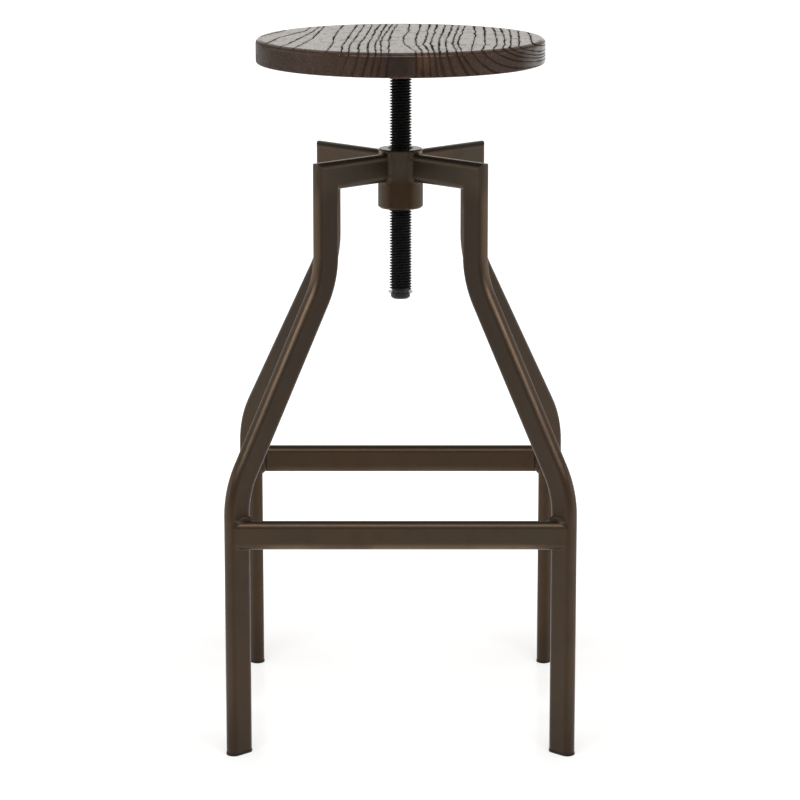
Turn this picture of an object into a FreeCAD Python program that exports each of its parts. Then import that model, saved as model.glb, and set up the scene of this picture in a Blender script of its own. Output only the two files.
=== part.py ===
import FreeCAD, Part
import math
import os
import Sketcher

# Bar stool: a round wooden seat on a screw, in a boss carried by four bent legs of flat-sided tube.
# Millimetres, +Z up, the origin on the floor below the middle of the seat, -Y to the front.

SIZES = (
    # seat and what fastens it
    ("seat_height", 777.0, "top of the seat above the floor at the stored setting"),
    ("seat_diameter", 324.0, "round wooden seat"),
    ("seat_thickness", 27.0, "seat board"),
    ("seat_top_round", 5.5, "eased upper edge of the seat"),
    ("seat_low_round", 2.5, "eased lower edge of the seat"),
    ("flange_diameter", 120.0, "steel plate under the seat"),
    ("flange_thickness", 5.0, "steel plate under the seat"),
    ("flange_edge", 1.0, "chamfer round the plate"),
    ("screw_circle", 92.0, "pitch circle of the seat screws"),
    ("screw_diameter", 5.0, "shank of a seat screw"),
    ("screw_length", 20.0, "shank of a seat screw above the plate"),
    ("screw_point", 5.0, "taper at the screw's end"),
    ("screw_tip", 1.0, "diameter of the blunt tip"),
    ("screw_head_diameter", 9.5, "pan head"),
    ("screw_head_crown", 6.5, "flat of the pan head"),
    ("screw_head_height", 3.0, "pan head"),
    ("screw_clearance", 0.1, "all round a screw in the plate and the seat"),
    # spindle
    ("thread_diameter", 25.4, "screw over its crests"),
    ("thread_runout", 2.0, "chamfer where the thread ends"),
    ("thread_end_height", 489.7, "where the thread ends above the floor"),
    ("spigot_diameter", 18.0, "spindle's end in the plate"),
    ("spigot_clearance", 0.05, "all round the spigot"),
    ("groove_diameter", 19.0, "bottom of the clip's groove"),
    ("groove_clearance", 0.05, "above and below the clip"),
    ("nose_diameter", 22.0, "plain end below the groove"),
    ("nose_length", 6.0, "plain end below the groove"),
    ("nose_chamfer", 2.0, "on the plain end"),
    ("clip_diameter", 28.0, "outside of the stop clip"),
    ("clip_thickness", 1.8, "stop clip"),
    ("clip_clearance", 0.1, "all round between clip and groove"),
    ("clip_gap_angle", 128.0, "open front of the clip, in degrees"),
    # hub
    ("hub_diameter", 50.8, "turned boss"),
    ("hub_top", 653.0, "top face above the floor"),
    ("hub_length", 67.2, "turned boss"),
    ("hub_top_chamfer", 1.5, "on the upper edge"),
    ("hub_low_chamfer", 2.0, "on the lower edge"),
    ("bore_chamfer", 2.0, "at both mouths of the bore"),
    ("running_clearance", 0.05, "all round between spindle and bore"),
    # flat-sided oval tube of the legs, arms and rails
    ("tube_width", 31.75, "broad side of the tube"),
    ("tube_thickness", 15.875, "narrow side of the tube"),
    ("tube_wall", 1.5, "tube"),
    ("tube_corner", 7.4, "outer radius of the tube's rounded narrow sides"),
    # frame
    ("arm_drop", 4.3, "upper side of the arms below the top of the hub"),
    ("corner_radius", 117.0, "axis of the stool to the middle of an upper leg"),
    ("foot_radius", 253.7, "axis of the stool to the middle of a foot"),
    ("upper_bend_height", 544.2, "where the upper bend starts"),
    ("lower_bend_height", 272.7, "where the lower bend ends"),
    ("bend_radius", 90.0, "both bends, to the middle of the tube"),
    ("rail_height", 251.4, "middle of the rails above the floor"),
    # foot caps
    ("cap_thickness", 3.0, "rim under the tube's end"),
    ("cap_overhang", 0.4, "rim beyond the tube, all round"),
    ("cap_edge", 1.2, "rounded lower edge of the rim"),
    ("plug_height", 14.0, "part of the cap inside the tube"),
    ("plug_wall", 1.8, "hollow plug"),
    ("plug_clearance", 0.1, "all round the plug in the tube"),
)

DIAGONALS = {
    "rear_right": 45.0,
    "rear_left": 135.0,
    "front_left": 225.0,
    "front_right": 315.0,
}

doc = FreeCAD.newDocument("bar_stool")
sheet = doc.addObject("Spreadsheet::Sheet", "Sizes")


class Size:
    """A number that comes from the sheet, together with the expression that gives it."""

    def __init__(self, value, text):
        self.value = float(value)
        self.text = text

    @staticmethod
    def of(other):
        return other if isinstance(other, Size) else Size(other, repr(float(other)))

    def __add__(self, other):
        other = Size.of(other)
        return Size(self.value + other.value, f"({self.text} + {other.text})")

    def __sub__(self, other):
        other = Size.of(other)
        return Size(self.value - other.value, f"({self.text} - {other.text})")

    def __mul__(self, other):
        other = Size.of(other)
        return Size(self.value * other.value, f"({self.text} * {other.text})")

    def __truediv__(self, other):
        other = Size.of(other)
        return Size(self.value / other.value, f"({self.text} / {other.text})")

    def __neg__(self):
        return Size(-self.value, f"(-1 * {self.text})")

    def tangent(self):
        """Tangent of this size, read as degrees."""
        return Size(math.tan(math.radians(self.value)), f"tan({self.text} * 1 deg)")


class Sizes:
    """The sheet's cells by name."""


def fill_sheet():
    """One row of the sheet for each driving dimension."""
    for row, (alias, value, note) in enumerate(SIZES, start=1):
        sheet.set(f"A{row}", note)
        sheet.set(f"B{row}", str(value))
        sheet.setAlias(f"B{row}", alias)
        setattr(Sizes, alias, Size(value, f"Sizes.{alias}"))
    doc.recompute()


fill_sheet()

ZERO = Size(0.0, "0")
ROOT_TWO = Size(math.sqrt(2.0), "sqrt(2)")

# Heights and places that several pieces share.
SEAT_UNDERSIDE = Sizes.seat_height - Sizes.seat_thickness
FLANGE_UNDERSIDE = SEAT_UNDERSIDE - Sizes.flange_thickness
HUB_UNDERSIDE = Sizes.hub_top - Sizes.hub_length
ARM_MIDDLE = Sizes.hub_top - Sizes.arm_drop - Sizes.tube_width / 2
ARM_END = Sizes.corner_radius + Sizes.tube_width / 2
CLIP_TOP = Sizes.thread_end_height - Sizes.groove_clearance
CLIP_UNDERSIDE = CLIP_TOP - Sizes.clip_thickness
NOSE_TOP = CLIP_UNDERSIDE - Sizes.groove_clearance
SPINDLE_END = NOSE_TOP - Sizes.nose_length
SCREW_HOLE = Sizes.screw_diameter / 2 + Sizes.screw_clearance

# The rails stand flush with the outermost line of the legs' rounded corners.
CORNER_CENTRE = Sizes.tube_width / 2 + Sizes.tube_thickness / 2 - Sizes.tube_corner * 2
LEG_FACE = (Sizes.foot_radius + CORNER_CENTRE) / ROOT_TWO + Sizes.tube_corner
RAIL_PLACE = LEG_FACE - Sizes.tube_thickness / 2
RAIL_HALF = RAIL_PLACE - Sizes.tube_thickness / ROOT_TWO


def new_body(label):
    body = doc.addObject("PartDesign::Body", label)
    body.Label = label
    return body


def origin_feature(body, role):
    return next(feature for feature in body.Origin.OriginFeatures if feature.Role == role)


def new_sketch(body, role, across=ZERO, lift=ZERO):
    """A sketch on one of the body's own planes, shifted along that plane's x and along its normal."""
    sketch = body.newObject("Sketcher::SketchObject", "Sketch")
    sketch.AttachmentSupport = [(origin_feature(body, role), "")]
    sketch.MapMode = "FlatFace"
    sketch.setExpression("AttachmentOffset.Base.x", across.text)
    sketch.setExpression("AttachmentOffset.Base.z", lift.text)
    return sketch


def dimension(sketch, kind, *where, size):
    index = sketch.addConstraint(Sketcher.Constraint(kind, *where, size.value))
    sketch.setExpression(f"Constraints[{index}]", size.text)


def hold(sketch, geometry, point, x, y):
    """Keeps one point of a sketch at its place from the sketch's origin."""
    for kind, axis, size in (("DistanceX", -2, x), ("DistanceY", -1, y)):
        if size is ZERO:
            sketch.addConstraint(Sketcher.Constraint("PointOnObject", geometry, point, axis))
        else:
            dimension(sketch, kind, -1, 1, geometry, point, size=size)


def polygon(sketch, corners):
    """A closed outline of straight lines, with each corner held at its own place."""
    points = [FreeCAD.Vector(x.value, y.value, 0) for x, y in corners]
    first = sketch.GeometryCount
    for start, end in zip(points, points[1:] + points[:1]):
        sketch.addGeometry(Part.LineSegment(start, end))
    for number, (x, y) in enumerate(corners):
        before = first + (number - 1) % len(corners)
        sketch.addConstraint(Sketcher.Constraint("Coincident", before, 2, first + number, 1))
        hold(sketch, first + number, 1, x, y)


def circle(sketch, radius, x=ZERO, y=ZERO):
    centre = FreeCAD.Vector(x.value, y.value, 0)
    index = sketch.addGeometry(Part.Circle(centre, FreeCAD.Vector(0, 0, 1), radius.value))
    hold(sketch, index, 3, x, y)
    dimension(sketch, "Radius", index, size=radius)


def rounded_rectangle(sketch, width, height, corner):
    """A rectangle with rounded corners about the sketch's origin."""
    half_x = width.value / 2 - corner.value
    half_y = height.value / 2 - corner.value
    first = sketch.GeometryCount
    quarter = math.pi / 2
    for turn, (side_x, side_y) in enumerate(((1, -1), (1, 1), (-1, 1), (-1, -1))):
        centre = FreeCAD.Vector(side_x * half_x, side_y * half_y, 0)
        arc = Part.Circle(centre, FreeCAD.Vector(0, 0, 1), corner.value)
        sketch.addGeometry(Part.ArcOfCircle(arc, (turn - 1) * quarter, turn * quarter))
    for turn in range(4):
        start = sketch.getPoint(first + turn, 2)
        end = sketch.getPoint(first + (turn + 1) % 4, 1)
        line = sketch.addGeometry(Part.LineSegment(start, end))
        sketch.addConstraint(Sketcher.Constraint("Tangent", first + turn, 2, line, 1))
        sketch.addConstraint(Sketcher.Constraint("Tangent", line, 2, first + (turn + 1) % 4, 1))
        sketch.addConstraint(Sketcher.Constraint("Horizontal" if turn % 2 else "Vertical", line))
    for turn in range(1, 4):
        sketch.addConstraint(Sketcher.Constraint("Equal", first, first + turn))
    right, top, left, bottom = (first + 4 + turn for turn in range(4))
    sketch.addConstraint(Sketcher.Constraint("Symmetric", first, 3, first + 2, 3, -1, 1))
    dimension(sketch, "DistanceX", left, 1, right, 1, size=width)
    dimension(sketch, "DistanceY", bottom, 1, top, 1, size=height)
    dimension(sketch, "Radius", first, size=corner)


def tube_outline(sketch, width, height, inset=ZERO):
    """The tube's rounded section, drawn in by the inset all round."""
    rounded_rectangle(sketch, width - inset * 2, height - inset * 2, Sizes.tube_corner - inset)


def tube_section(sketch, width, height):
    """Outside and inside of the tube's wall."""
    tube_outline(sketch, width, height)
    tube_outline(sketch, width, height, Sizes.tube_wall)


def pad(body, sketch, length, symmetric=False):
    feature = body.newObject("PartDesign::Pad", "Pad")
    feature.Profile = sketch
    feature.SideType = "Symmetric" if symmetric else "One side"
    feature.setExpression("Length", length.text)
    return feature


def cut_through(body, sketch):
    """Removes the sketch's outline right through the body, both ways from the sketch."""
    feature = body.newObject("PartDesign::Pocket", "Cut")
    feature.Profile = sketch
    feature.Type = "ThroughAll"
    feature.SideType = "Symmetric"
    return feature


def bore_up(body, sketch, depth):
    """Removes the sketch's outline upwards to a depth."""
    feature = body.newObject("PartDesign::Pocket", "Bore")
    feature.Profile = sketch
    feature.Reversed = True
    feature.setExpression("Length", depth.text)
    return feature


def four_round(body, feature):
    """Repeats a cut four times round the body's axis."""
    pattern = body.newObject("PartDesign::PolarPattern", "Pattern")
    pattern.Originals = [feature]
    pattern.Axis = (origin_feature(body, "Z_Axis"), [""])
    pattern.Angle = 360.0
    pattern.Occurrences = 4
    body.Tip = pattern


def turn_profile(body, corners):
    """A turned piece from half its section, given as radius and height."""
    sketch = new_sketch(body, "XZ_Plane")
    polygon(sketch, corners)
    feature = body.newObject("PartDesign::Revolution", "Revolution")
    feature.Profile = sketch
    feature.ReferenceAxis = (sketch, ["V_Axis"])
    feature.Angle = 360.0
    return feature


def edges_at(feature, height):
    """Names of a feature's edges that lie flat at a height in its body."""
    doc.recompute()
    names = []
    for number, edge in enumerate(feature.Shape.Edges, start=1):
        heights = [edge.valueAt(place).z for place in edge.ParameterRange]
        if all(abs(each - height.value) < 0.001 for each in heights):
            names.append(f"Edge{number}")
    return names


def round_edges(body, feature, height, radius):
    fillet = body.newObject("PartDesign::Fillet", "Fillet")
    fillet.Base = (feature, edges_at(feature, height))
    fillet.setExpression("Radius", radius.text)
    return fillet


def place(body, turn=0.0, away=ZERO, lift=ZERO):
    """Stands a body at a height and a distance from the axis, then turns it round the axis."""
    angle = math.radians(turn)
    body.Placement = FreeCAD.Placement(FreeCAD.Vector(), FreeCAD.Rotation(FreeCAD.Vector(0, 0, 1), turn))
    body.setExpression("Placement.Base.x", (away * round(math.cos(angle), 12)).text)
    body.setExpression("Placement.Base.y", (away * round(math.sin(angle), 12)).text)
    body.setExpression("Placement.Base.z", lift.text)


def make_seat():
    body = new_body("seat")
    board = new_sketch(body, "XY_Plane")
    circle(board, Sizes.seat_diameter / 2)
    blank = pad(body, board, Sizes.seat_thickness)
    eased = round_edges(body, blank, Sizes.seat_thickness, Sizes.seat_top_round)
    round_edges(body, eased, ZERO, Sizes.seat_low_round)
    pilot = new_sketch(body, "XY_Plane")
    circle(pilot, SCREW_HOLE, x=Sizes.screw_circle / 2)
    four_round(body, bore_up(body, pilot, Sizes.screw_length + Sizes.screw_clearance))
    place(body, turn=45.0, lift=SEAT_UNDERSIDE)
    return body


def make_seat_flange():
    body = new_body("seat_flange")
    rim = Sizes.flange_diameter / 2
    hole = Sizes.spigot_diameter / 2 + Sizes.spigot_clearance
    turn_profile(body, [
        (hole, ZERO),
        (rim - Sizes.flange_edge, ZERO),
        (rim, Sizes.flange_edge),
        (rim, Sizes.flange_thickness),
        (hole, Sizes.flange_thickness),
    ])
    screw_hole = new_sketch(body, "XY_Plane")
    circle(screw_hole, SCREW_HOLE, x=Sizes.screw_circle / 2)
    four_round(body, cut_through(body, screw_hole))
    place(body, turn=45.0, lift=FLANGE_UNDERSIDE)
    return body


def primitive(kind, name, height, lift, **radii):
    """A round primitive on the screw's axis, its foot at a height."""
    piece = doc.addObject(kind, name)
    piece.setExpression("Height", height.text)
    piece.setExpression("Placement.Base.z", lift.text)
    for radius, size in radii.items():
        piece.setExpression(radius, size.text)
    return piece


def make_screw(turn):
    """One pan-head screw: head under the plate, shank up into the seat, blunt point."""
    shank_radius = Sizes.screw_diameter / 2
    shank = Sizes.flange_thickness + Sizes.screw_length - Sizes.screw_point
    head = primitive("Part::Cone", "Head", Sizes.screw_head_height, -Sizes.screw_head_height,
                     Radius1=Sizes.screw_head_crown / 2, Radius2=Sizes.screw_head_diameter / 2)
    stem = primitive("Part::Cylinder", "Stem", shank, ZERO, Radius=shank_radius)
    point = primitive("Part::Cone", "Point", Sizes.screw_point, shank,
                      Radius1=shank_radius, Radius2=Sizes.screw_tip / 2)
    screw = doc.addObject("Part::MultiFuse", "Screw")
    screw.Shapes = [head, stem, point]
    place(screw, turn=turn, away=Sizes.screw_circle / 2, lift=FLANGE_UNDERSIDE)
    return screw


def make_seat_screws():
    group = doc.addObject("Part::Compound", "seat_screws")
    group.Label = "seat_screws"
    group.Links = [make_screw(turn) for turn in DIAGONALS.values()]
    return group


def make_spindle():
    body = new_body("spindle")
    thread = Sizes.thread_diameter / 2
    spigot = Sizes.spigot_diameter / 2
    groove = Sizes.groove_diameter / 2
    nose = Sizes.nose_diameter / 2
    turn_profile(body, [
        (ZERO, SPINDLE_END),
        (nose - Sizes.nose_chamfer, SPINDLE_END),
        (nose, SPINDLE_END + Sizes.nose_chamfer),
        (nose, NOSE_TOP),
        (groove, NOSE_TOP),
        (groove, Sizes.thread_end_height),
        (thread - Sizes.thread_runout, Sizes.thread_end_height),
        (thread, Sizes.thread_end_height + Sizes.thread_runout),
        (thread, FLANGE_UNDERSIDE),
        (spigot, FLANGE_UNDERSIDE),
        (spigot, SEAT_UNDERSIDE),
        (ZERO, SEAT_UNDERSIDE),
    ])
    return body


def make_stop_clip():
    body = new_body("stop_clip")
    ring = new_sketch(body, "XY_Plane")
    circle(ring, Sizes.clip_diameter / 2)
    circle(ring, Sizes.groove_diameter / 2 + Sizes.clip_clearance)
    pad(body, ring, Sizes.clip_thickness)
    gap = new_sketch(body, "XY_Plane")
    reach = Sizes.clip_diameter
    spread = reach * (Sizes.clip_gap_angle / 2).tangent()
    polygon(gap, [(ZERO, ZERO), (-spread, -reach), (spread, -reach)])
    cut_through(body, gap)
    place(body, lift=CLIP_UNDERSIDE)
    return body


def make_hub():
    body = new_body("hub")
    rim = Sizes.hub_diameter / 2
    bore = Sizes.thread_diameter / 2 + Sizes.running_clearance
    turn_profile(body, [
        (bore + Sizes.bore_chamfer, ZERO),
        (rim - Sizes.hub_low_chamfer, ZERO),
        (rim, Sizes.hub_low_chamfer),
        (rim, Sizes.hub_length - Sizes.hub_top_chamfer),
        (rim - Sizes.hub_top_chamfer, Sizes.hub_length),
        (bore + Sizes.bore_chamfer, Sizes.hub_length),
        (bore, Sizes.hub_length - Sizes.bore_chamfer),
        (bore, Sizes.bore_chamfer),
    ])
    place(body, lift=HUB_UNDERSIDE)
    return body


def mitre_cut(body, middle, side):
    """Cuts a tube on the 45 degree plane of a corner: side -1 takes the upper half away, +1 the lower."""
    reach = Sizes.tube_width
    low = (Sizes.corner_radius - reach, middle - reach)
    high = (Sizes.corner_radius + reach, middle + reach)
    waste = (Sizes.corner_radius + reach * side, middle - reach * side)
    cutter = new_sketch(body, "XZ_Plane")
    polygon(cutter, [low, high, waste])
    cut_through(body, cutter)


def make_arm(place_name, turn):
    """Tube from the hub, hollowed to the hub's round side, to the mitred corner above a leg."""
    body = new_body(f"arm_{place_name}")
    section = new_sketch(body, "YZ_Plane")
    tube_section(section, Sizes.tube_thickness, Sizes.tube_width)
    pad(body, section, ARM_END)
    mitre_cut(body, ZERO, 1)
    saddle = new_sketch(body, "XY_Plane")
    circle(saddle, Sizes.hub_diameter / 2)
    cut_through(body, saddle)
    place(body, turn=turn, lift=ARM_MIDDLE)
    return body


def leg_path(body):
    """The leg's middle line from the floor up: straight, bend in, slope, bend back, straight."""
    sketch = new_sketch(body, "XZ_Plane")
    radius = Sizes.bend_radius
    inner = FreeCAD.Vector(Sizes.foot_radius.value - radius.value, Sizes.lower_bend_height.value, 0)
    outer = FreeCAD.Vector(Sizes.corner_radius.value + radius.value, Sizes.upper_bend_height.value, 0)
    apart = outer - inner
    slope = math.atan2(apart.y, apart.x) - math.acos(2 * radius.value / apart.Length)
    lower_circle = Part.Circle(inner, FreeCAD.Vector(0, 0, 1), radius.value)
    upper_circle = Part.Circle(outer, FreeCAD.Vector(0, 0, 1), radius.value)
    lower = Part.ArcOfCircle(lower_circle, 0.0, slope)
    upper = Part.ArcOfCircle(upper_circle, math.pi, math.pi + slope)
    foot = FreeCAD.Vector(Sizes.foot_radius.value, Sizes.cap_thickness.value, 0)
    top = FreeCAD.Vector(Sizes.corner_radius.value, (ARM_MIDDLE + Sizes.tube_width / 2).value, 0)
    sketch.addGeometry(Part.LineSegment(foot, lower.StartPoint))
    sketch.addGeometry(lower)
    sketch.addGeometry(Part.LineSegment(lower.EndPoint, upper.EndPoint))
    sketch.addGeometry(upper)
    sketch.addGeometry(Part.LineSegment(upper.StartPoint, top))
    for first, end, second, start in ((0, 2, 1, 1), (1, 2, 2, 1), (2, 2, 3, 2), (3, 1, 4, 1)):
        sketch.addConstraint(Sketcher.Constraint("Tangent", first, end, second, start))
    sketch.addConstraint(Sketcher.Constraint("Vertical", 0))
    sketch.addConstraint(Sketcher.Constraint("Vertical", 4))
    sketch.addConstraint(Sketcher.Constraint("Equal", 1, 3))
    dimension(sketch, "Radius", 1, size=radius)
    hold(sketch, 0, 1, Sizes.foot_radius, Sizes.cap_thickness)
    hold(sketch, 4, 2, Sizes.corner_radius, ARM_MIDDLE + Sizes.tube_width / 2)
    dimension(sketch, "DistanceY", -1, 1, 1, 1, size=Sizes.lower_bend_height)
    dimension(sketch, "DistanceY", -1, 1, 3, 1, size=Sizes.upper_bend_height)
    return sketch


def make_leg(place_name, turn):
    body = new_body(f"leg_{place_name}")
    path = leg_path(body)
    section = new_sketch(body, "XY_Plane", across=Sizes.foot_radius, lift=Sizes.cap_thickness)
    tube_section(section, Sizes.tube_width, Sizes.tube_thickness)
    pipe = body.newObject("PartDesign::AdditivePipe", "Pipe")
    pipe.Profile = section
    pipe.Spine = path
    mitre_cut(body, ARM_MIDDLE, -1)
    place(body, turn=turn)
    return body


def make_rail(place_name, turn):
    """Tube between two legs, both ends cut at 45 degrees against the legs' broad faces."""
    body = new_body(f"rail_{place_name}")
    section = new_sketch(body, "XZ_Plane")
    tube_section(section, Sizes.tube_thickness, Sizes.tube_width)
    pad(body, section, RAIL_HALF * 2 + Sizes.tube_thickness, symmetric=True)
    waste = new_sketch(body, "XY_Plane")
    reach = Sizes.tube_thickness
    near = RAIL_HALF - reach
    far = RAIL_HALF + reach
    polygon(waste, [(-reach, near), (reach, far), (-reach, far)])
    end = cut_through(body, waste)
    other_end = body.newObject("PartDesign::Mirrored", "Mirrored")
    other_end.Originals = [end]
    other_end.MirrorPlane = (origin_feature(body, "XZ_Plane"), [""])
    body.Tip = other_end
    place(body, turn=turn, away=RAIL_PLACE, lift=Sizes.rail_height)
    return body


def make_foot(place_name, turn):
    """End cap: a rim under the tube and a hollow plug inside it."""
    body = new_body(f"foot_{place_name}")
    rim = new_sketch(body, "XY_Plane")
    tube_outline(rim, Sizes.tube_width, Sizes.tube_thickness, -Sizes.cap_overhang)
    sole = pad(body, rim, Sizes.cap_thickness)
    round_edges(body, sole, ZERO, Sizes.cap_edge)
    inside = Sizes.tube_wall + Sizes.plug_clearance
    plug = new_sketch(body, "XY_Plane", lift=Sizes.cap_thickness)
    tube_outline(plug, Sizes.tube_width, Sizes.tube_thickness, inside)
    tube_outline(plug, Sizes.tube_width, Sizes.tube_thickness, inside + Sizes.plug_wall)
    pad(body, plug, Sizes.plug_height)
    place(body, turn=turn, away=Sizes.foot_radius)
    return body


def make_parts():
    parts = [make_seat(), make_seat_flange(), make_seat_screws()]
    parts += [make_spindle(), make_stop_clip(), make_hub()]
    for place_name, turn in DIAGONALS.items():
        parts += [make_arm(place_name, turn), make_leg(place_name, turn), make_foot(place_name, turn)]
    parts += [make_rail("front", 270.0), make_rail("rear", 90.0)]
    return parts


def check(parts):
    """Stops on anything that failed to rebuild, or a sub-part that is not a sound solid."""
    doc.recompute()
    for item in doc.Objects:
        if "Invalid" in item.State or "Error" in item.State:
            raise RuntimeError(f"{item.Label} failed to rebuild: {item.State}")
    for part in parts:
        if part.Shape.isNull() or not part.Shape.isValid() or not part.Shape.Solids:
            raise RuntimeError(f"{part.Label} is not a sound solid")


def write(parts):
    os.makedirs("parts", exist_ok=True)
    for part in parts:
        part.Shape.exportStep(os.path.join("parts", f"{part.Label}.step"))


subparts = make_parts()
check(subparts)
write(subparts)
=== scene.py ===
import math

import bmesh
import bpy
import numpy as np
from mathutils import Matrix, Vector, noise


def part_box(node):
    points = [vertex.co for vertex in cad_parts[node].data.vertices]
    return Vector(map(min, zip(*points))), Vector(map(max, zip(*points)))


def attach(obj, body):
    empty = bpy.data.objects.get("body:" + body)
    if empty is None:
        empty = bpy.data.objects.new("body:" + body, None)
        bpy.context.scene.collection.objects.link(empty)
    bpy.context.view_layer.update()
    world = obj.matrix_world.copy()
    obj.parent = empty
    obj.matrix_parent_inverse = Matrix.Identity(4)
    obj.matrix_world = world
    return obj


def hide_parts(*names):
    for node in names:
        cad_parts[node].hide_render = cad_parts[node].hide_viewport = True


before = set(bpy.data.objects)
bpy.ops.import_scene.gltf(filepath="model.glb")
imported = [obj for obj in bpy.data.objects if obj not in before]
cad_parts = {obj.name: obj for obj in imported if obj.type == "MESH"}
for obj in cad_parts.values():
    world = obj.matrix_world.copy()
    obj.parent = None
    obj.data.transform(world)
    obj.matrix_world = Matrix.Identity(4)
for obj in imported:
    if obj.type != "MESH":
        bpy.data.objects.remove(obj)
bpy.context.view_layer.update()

bl_info = {
    "name": "Screw stool",
    "version": (1, 0, 0),
    "blender": (4, 5, 0),
    "location": "View3D > Sidebar > Stool",
    "description": "Dresses a bar stool with a screw-lifted seat round its CAD parts",
    "category": "Add Mesh",
}

MM = 0.001
SIDES = {"front_left": (-1, -1), "front_right": (1, -1), "rear_left": (-1, 1), "rear_right": (1, 1)}
SEAT_LOW, SEAT_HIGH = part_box("seat")
HUB_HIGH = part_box("hub")[1]
SCREW_LOW, SCREW_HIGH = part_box("spindle")
FLANGE_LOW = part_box("seat_flange")[0]
CLIP_LOW, CLIP_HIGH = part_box("stop_clip")
ARM_LOW, ARM_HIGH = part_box("arm_rear_right")
FOOT_LOW, FOOT_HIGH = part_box("foot_rear_right")
RAIL_LOW, RAIL_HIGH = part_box("rail_rear")

# Half sizes of the legs' flat-sided oval tube and the radius of its narrow sides, in mm.
TUBE_THIN = (RAIL_HIGH.y - RAIL_LOW.y) / 2 / MM
TUBE_BROAD = (RAIL_HIGH.z - RAIL_LOW.z) / 2 / MM
TUBE_ROUND = 7.4

# Where each growth ring crosses five lines across the seat, front to back, in mm from its middle.
RING_STATIONS = (-140, -70, 0, 70, 140)
RING_LINES = (
    (-176, -172, -162, -134, -116),
    (-158, -149, -136, -109, -100),
    (-146, -124, -111, -99, -92),
    (-122, -108, -97, -92, -87),
    (-79, -75, -74, -71, -66),
    (-64, -63, -58, -55, -50),
    (-56, -55, -50, -46, -42),
    (-45, -46, -40, -36, -33),
    (-35, -36, -32, -29, -24),
    (-27, -28, -24, -21, -17),
    (-21, -22, -20, -15, -10),
    (-13, -13, -12, -9, -4),
    (16, 4, 3, 9, 10),
    (23, 17, 17, 21, 23),
    (30, 25, 29, 31, 34),
    (36, 33, 36, 39, 42),
    (42, 42, 44, 49, 52),
    (50, 49, 52, 57, 60),
    (60, 57, 60, 64, 68),
    (66, 63, 66, 71, 75),
    (76, 79, 83, 85, 85),
    (87, 93, 94, 96, 95),
    (99, 106, 107, 107, 104),
    (109, 114, 116, 115, 112),
    (116, 121, 123, 124, 122),
    (124, 130, 132, 134, 133),
    (140, 145, 145, 145, 144),
    (158, 160, 160, 160, 159),
)

# Spans that a finish fades over, in m. Seat board, by height: the lacquered top, the dull part of the eased edge,
# the bare underside and the lower end of the rim's warm streak.
SEAT_LACQUER = (SEAT_HIGH.z - 0.0030, SEAT_HIGH.z - 0.0006)
SEAT_DULL = (SEAT_HIGH.z - 0.0032, SEAT_HIGH.z - 0.0022)
SEAT_BARE = (SEAT_LOW.z + 0.0002, SEAT_LOW.z + 0.001)
STREAK_FOOT = (SEAT_LOW.z + 0.006, SEAT_LOW.z + 0.015)
# Seat's rim, from left to right: where rings begin to show, the dark heart, the warm streak and the glossy end.
RIM_RINGS = (-0.075, -0.045)
RIM_HEART = (-0.032, -0.004, 0.000, 0.024)
RIM_STREAK = (0.014, 0.026, 0.028, 0.046)
RIM_GLOSS = (0.125, 0.15)
# Legs: where they begin by |x|, their upper end by height, their faces by the distance | |x| - |y| | from the diagonal
# that they stand on, and by height the upper part where the painted highlight and painted shade are strongest, the
# lower part painted darker and browner as painted shade, and the painted shade towards the floor.
LEG_FROM = (0.05, 0.06)
LEG_TOP = (0.60, 0.63)
LEG_SIDE = (0.0114, 0.0125)
LEG_BROAD = (0.0060, 0.0104)
LEG_HIGH = (0.30, 0.45)
LEG_LOW = (0.24, 0.42)
LEG_FLOOR_SHADE = (0.0, 0.09)
# Rear half by y; the hub by |x| and height, for the painted shade on its lower end and its lighter top; the rails by
# |x|, |y| and height, for their painted lower-edge highlight; the arms' painted top highlight by |x| and height.
REAR = (0.0, 0.1)
HUB_MIDDLE = (0.010, 0.024)
HUB_LOWER = (0.612, 0.630)
HUB_TOP = (HUB_HIGH.z - 0.0011, HUB_HIGH.z - 0.0004)
RAIL_SPAN = (0.135, 0.165)
RAIL_FROM = (0.16, 0.17)
RAIL_EDGE = (RAIL_LOW.z + 0.001, RAIL_LOW.z + 0.010)
ARM_FROM = (0.018, 0.022)
ARM_TOP_HIGHLIGHT = (ARM_HIGH.z - 0.0013, ARM_HIGH.z - 0.0005)

# Seat board's mesh: its eased edges in mm, strips across it, rows along a strip above and below, levels of its rim.
SEAT_ROUND, SEAT_LOW_ROUND = 5.5, 2.5
SEAT_COLUMNS, SEAT_ROWS, SEAT_LOW_ROWS = 560, 72, 8
ROUND_LEVELS, STRAIGHT_LEVELS, LOW_ROUND_LEVELS = 9, 9, 6
# Brushed grooves: half width in mm, share of the depth on the rim, and how far a face has to look up to be no rim.
GROOVE_WIDTH, RIM_GROOVE, LOOKS_UP = 0.95, 0.3, 0.3
# The rings' wobble: reach in mm, the fine waves' share of it, sizes of a wave along x, y and z in mm.
WOBBLE, FINE_WOBBLE = 1.1, 0.7
WAVE, FINE_WAVE, FINE_SEED = (13, 21, 17), (5, 8), 7.0
# The rings lean outward below the top, for each mm of depth: on the left with the distance from the middle, on the
# right with its square.
LEFT_LEAN, RIGHT_LEAN = 0.006, 0.0001

# Screw, in m: radius of its nose, clip groove and stem, play beside the clip, plain part above the clip.
NOSE_RADIUS, GROOVE_RADIUS, STEM_RADIUS = 0.011, 0.0095, 0.009
CLIP_PLAY, PLAIN_PART = 0.00005, 0.0022
# The nose's rounding: (inwards, upwards) from its corner.
NOSE_ROUNDING = ((0.002, 0.0), (0.0006, 0.0013), (0.0, 0.0022))
# The thread's ridge: its width at foot and crest as a share of the pitch, its steps in a turn, how far it is sunk into
# the core and held inside the crest, in m.
RIDGE_FOOT, RIDGE_CREST, RIDGE_STEPS = 0.98, 0.06, 40
RIDGE_SUNK, RIDGE_INSIDE = 0.0001, 0.00002

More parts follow.
